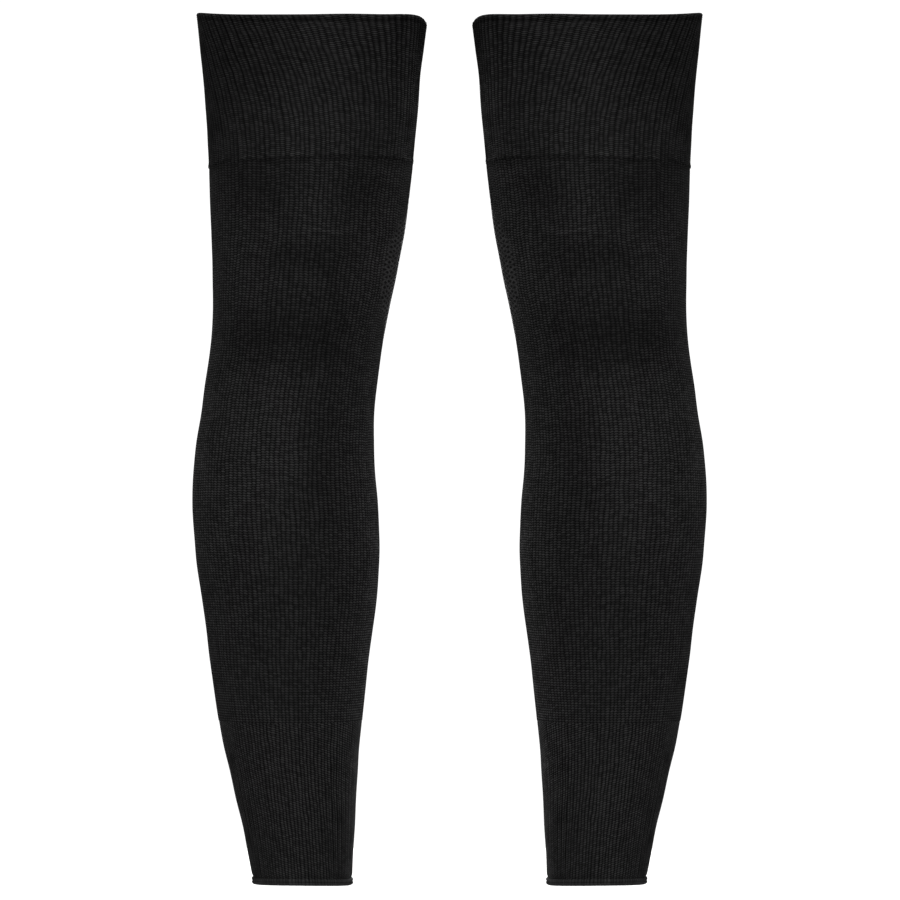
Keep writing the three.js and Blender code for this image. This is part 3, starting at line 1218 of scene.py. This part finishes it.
@dataclass
class AnkleCuff(ClothPiece):
    """The finer ribbed cuff round the ankle."""

    node: str = "ankle_cuff"
    slot: str = "ankle_rib"
    finish: KnitFinish = FINE_RIBBED
    groove: float = 0.6
    rib_shape: float = 0.8
    columns_per_wale: int = 3
    course_cuts: tuple[int, ...] = (69, 2)
    cut_width: float = 0.22
    cut_length: float = 0.105
    tall: float = 110.0
    # Painted shade in the grooves at both sides of the ankle.
    painted_groove_shade_outside: Swell = Swell(up=20, turn=30, tall=42, wide=16, lift=1.3)
    painted_groove_shade_inside: Swell = Swell(up=24, turn=146, tall=50, wide=18, lift=1.2)
    painted_groove_sharpness: float = 1.5
    deep_inside: Swell = Swell(up=25, turn=140, tall=40, wide=28, lift=0.5)
    shallow_from: float = 90.0
    shallow_over: float = 20.0
    shallow: float = 0.4
    uneven_ribs: Wobble = Wobble(seed=37, around=60, along=6, lift=0.2)
    softness: Wobble = Wobble(seed=38, around=12, along=6, lift=0.25)
    tight_line: Band = Band(lift=0.5, width=1.3, middle=0.6)

    def bottom_edge(self, turn: Array) -> Array:
        """The join with the hem."""
        return self.form.hem_seam(turn) + self.form.knitted_gap / 2

    def top_edge(self, turn: Array) -> Array:
        """The change of knit below the leg."""
        return self.form.ankle_seam(turn) - self.form.knitted_gap / 2

    def painted_glint_and_shade(self, spots: Spots) -> Array:
        """Painted shade in every second groove, where the rib closes up at both sides, low on the ankle."""
        # closed is how strong the painted groove shade is.
        closed = self.painted_groove_shade_outside.at(spots.up, spots.turn) + self.painted_groove_shade_inside.at(spots.up, spots.turn)
        return -groove_lines(spots.wale, self.painted_groove_sharpness) * every_other(spots.wale) * closed

    def groove_share(self, spots: Spots) -> Array:
        """The grooves are deeper down the inner side and shallow out at the top.

        Args:
            spots: The places.

        Returns:
            The share of their usual depth at each place.
        """
        deeper = self.deep_inside.at(spots.up, spots.turn)
        shallower = self.shallow * smooth((spots.up - self.shallow_from) / self.shallow_over)
        return 1.0 + deeper - shallower + self.uneven_ribs.at(spots.turn, spots.up / self.tall)

    def relief(self, spots: Spots) -> Array:
        """Ribs and loops, soft unevenness and a tight line above the hem."""
        tight = self.tight_line.at(spots.up - self.form.hem_seam(spots.turn))
        return super().relief(spots) + tight - self.softness.at(spots.turn, spots.up / self.tall)


@dataclass
class Hem(ClothPiece):
    """The overlocked edge: a bead of thread wound slantwise over the raw edge of the ankle cuff."""

    node: str = "hem"
    slot: str = "overlock"
    finish: KnitFinish = OVERLOCKED
    wall: float = 2.6
    rows_per_course: int = 12
    course_cuts: tuple[int, ...] = (12,)
    inner_rows: int = 2
    bead: float = 0.75
    thread: float = 0.14
    thread_slant: float = 0.9
    lower_round: Band = Band(lift=0.5, width=0.12)
    upper_round: Band = Band(lift=0.4, width=0.1)
    looseness: Wobble = Wobble(seed=41, around=90, along=3, lift=0.12)

    def top_edge(self, turn: Array) -> Array:
        """The join with the ankle cuff."""
        return self.form.hem_seam(turn) - self.form.knitted_gap / 2

    def relief(self, spots: Spots) -> Array:
        """Two rounded rows of slanting thread, one above the other.

        Args:
            spots: The places.

        Returns:
            The depth at each place.
        """
        share = np.clip((spots.up - self.form.foot(spots.turn)) / self.form.hem_tall, 0.0, 1.0)
        rows = np.sqrt(np.abs(np.sin(FULL_TURN * share)))
        thread = np.cos(FULL_TURN * (spots.wale + self.thread_slant * share))
        rounded = self.lower_round.at(share) + self.upper_round.at(1 - share)
        loose = self.looseness.at(spots.turn, share)
        return rounded - self.bead * rows - self.thread * thread - loose


class LegWarmer:
    """One leg warmer, from its four pieces of cloth."""

    def __init__(self, form: LegForm) -> None:
        """Lists the pieces from the thigh down.

        Args:
            form: The form that they all lie on.
        """
        self.thigh_cuff = ThighCuff(form)
        self.leg = LegTube(form)
        self.ankle_cuff = AnkleCuff(form)
        self.hem = Hem(form)

    def pieces(self) -> tuple[ClothPiece, ...]:
        """The pieces from the thigh down."""
        return self.thigh_cuff, self.leg, self.ankle_cuff, self.hem

    def build(self) -> dict[str, Piece]:
        """Builds the right leg's pieces, each by its name without the side."""
        return {piece.node: piece.build() for piece in self.pieces()}

    def mirrored(self, built: dict[str, Piece]) -> dict[str, Piece]:
        """Copies the right leg's pieces over to the left leg, each with its own mesh.

        Args:
            built: The right leg's pieces.

        Returns:
            The left leg's pieces.
        """
        copies = {}
        for name, piece in built.items():
            select_only(piece)
            bpy.ops.object.duplicate(linked=False)
            copy = bpy.context.object
            copy.name = f"{Side.LEFT.value}_{name}_cloth"
            copy.data.name = copy.name
            copy.scale.x = -1.0
            bpy.ops.object.transform_apply(location=True, rotation=True, scale=True)
            turn_outwards(copy)
            copies[name] = copy
        return copies

    def declare(self, side: Side, built: dict[str, Piece]) -> None:
        """Hides each piece's part, attaches the piece to the root body and logs how many faces it has.

        Args:
            side: The leg that the pieces belong to.
            built: The leg's pieces by name.
        """
        for piece in self.pieces():
            cloth = built[piece.node]
            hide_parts(f"{side.value}_{piece.node}")
            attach(cloth, "root")
            LOG.info("%s: %d faces", cloth.name, len(cloth.data.polygons))
        hem = built[self.hem.node]
        for piece, extra in ((self.thigh_cuff, ()), (self.leg, ()), (self.ankle_cuff, (hem,))):
            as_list(extra)


@dataclass(frozen=True)
class SoftBox:
    """A studio softbox: where it stands, what it points at, how large and how strong it is."""

    name: str
    place: tuple[float, float, float]
    aim: tuple[float, float, float]
    width: float
    height: float
    watts: float

    def build(self) -> Piece:
        """Sets up the light.

        Returns:
            The new light.
        """
        deselect_all()
        bpy.ops.object.light_add(type="AREA", location=self.place)
        light = bpy.context.object
        light.name = self.name
        light.data.shape = "RECTANGLE"
        light.data.size = self.width
        light.data.size_y = self.height
        light.data.energy = self.watts
        away = np.array(self.place) - np.array(self.aim)
        flat = math.hypot(away[0], away[1])
        heading = math.atan2(away[0], -away[1]) if flat else 0.0
        light.rotation_euler = (math.atan2(flat, away[2]), 0.0, heading)
        return light


@dataclass(frozen=True)
class Studio:
    """The plain studio: a pale floor, white surroundings, soft lights and the camera."""

    form: LegForm
    floor_below: float = 90.0
    floor_size: float = 2.6
    floor_shade: float = 0.9
    floor_roughness: float = 0.9
    backdrop: float = 1.1
    surround: float = 0.3
    camera_distance: float = 3200.0
    camera_up: float = 296.2
    camera_aside: float = 0.3
    frame_width: float = 621.0
    sensor: float = 36.0
    sight: float = 100.0

    @property
    def camera_height(self) -> float:
        """The camera's height in metres in the frame of the part."""
        return (self.camera_up - self.form.origin_up) * MM

    def build(self) -> None:
        """Builds the floor, the world, the lights and the camera."""
        scene = bpy.context.scene
        scene.view_settings.view_transform = "Standard"
        self.build_floor()
        self.build_world()
        middle = (0.0, 0.0, self.camera_height)
        for box in (
            SoftBox("high softbox", (0.0, -2.0, 2.2), middle, 1.2, 0.9, 120.0),
            SoftBox("left softbox", (-2.4, -1.3, -0.2), middle, 0.7, 1.4, 50.0),
            SoftBox("right softbox", (2.4, -1.3, -0.2), middle, 0.7, 1.4, 50.0),
            SoftBox("back softbox", (0.0, 2.6, 0.2), middle, 0.9, 1.4, 80.0),
        ):
            box.build()
        scene.camera = self.build_camera()

    def build_floor(self) -> None:
        """Lays the pale floor below the hems."""
        deselect_all()
        height = -(self.form.origin_up + self.floor_below) * MM
        bpy.ops.mesh.primitive_plane_add(size=self.floor_size, location=(0.0, 0.0, height))
        floor = bpy.context.object
        floor.name = "studio_floor"
        paint = bpy.data.materials.new("pale studio floor")
        paint.use_nodes = True
        shader = paint.node_tree.nodes["Principled BSDF"]
        shader.inputs["Base Color"].default_value = (*(self.floor_shade,) * 3, 1.0)
        shader.inputs["Roughness"].default_value = self.floor_roughness
        shader.inputs["Specular IOR Level"].default_value = 0.0
        floor.data.materials.append(paint)

    def build_world(self) -> None:
        """Makes the surroundings evenly white, and softer as a light than they look."""
        world = bpy.data.worlds.new("white surroundings")
        world.use_nodes = True
        sheet = NodeSheet(world.node_tree)
        sky = world.node_tree.nodes["Background"]
        sky.inputs["Color"].default_value = (1.0, 1.0, 1.0, 1.0)
        seen = sheet.add("ShaderNodeLightPath").outputs["Is Camera Ray"]
        strength = sheet.maths("MULTIPLY_ADD", seen, self.backdrop - self.surround, self.surround)
        sheet.fill(sky, {"Strength": strength})
        bpy.context.scene.world = world

    def build_camera(self) -> Piece:
        """Sets the camera level, half way up the legs.

        Returns:
            The new camera.
        """
        deselect_all()
        place = (self.camera_aside * MM, -self.camera_distance * MM, self.camera_height)
        bpy.ops.object.camera_add(location=place, rotation=(math.pi / 2, 0.0, 0.0))
        camera = bpy.context.object
        camera.name = "studio_camera"
        camera.data.sensor_width = self.sensor
        camera.data.lens = self.sensor * self.camera_distance / self.frame_width
        camera.data.clip_end = self.sight
        return camera


def main() -> None:
    """Builds both leg warmers, their finishes and the studio."""
    logging.basicConfig(level=logging.INFO, format="%(message)s")
    PATTERN.knit_loops()
    PATTERN.yarn_colour()
    PATTERN.crossed_mesh()
    for finish in (RIBBED_DOUBLE, FINE_PLAIN, FINE_RIBBED, OVERLOCKED):
        finish.material()
    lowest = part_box("right_hem")[0].z / MM
    form = LegForm(origin_up=-lowest - LegForm.hem_drop - LegForm.hem_side_dip - LegForm.hem_tilt)
    Studio(form=form).build()
    leg_warmer = LegWarmer(form)
    right = leg_warmer.build()
    left = leg_warmer.mirrored(right)
    leg_warmer.declare(Side.RIGHT, right)
    leg_warmer.declare(Side.LEFT, left)
    deselect_all()


if __name__ == "__main__":
    main()
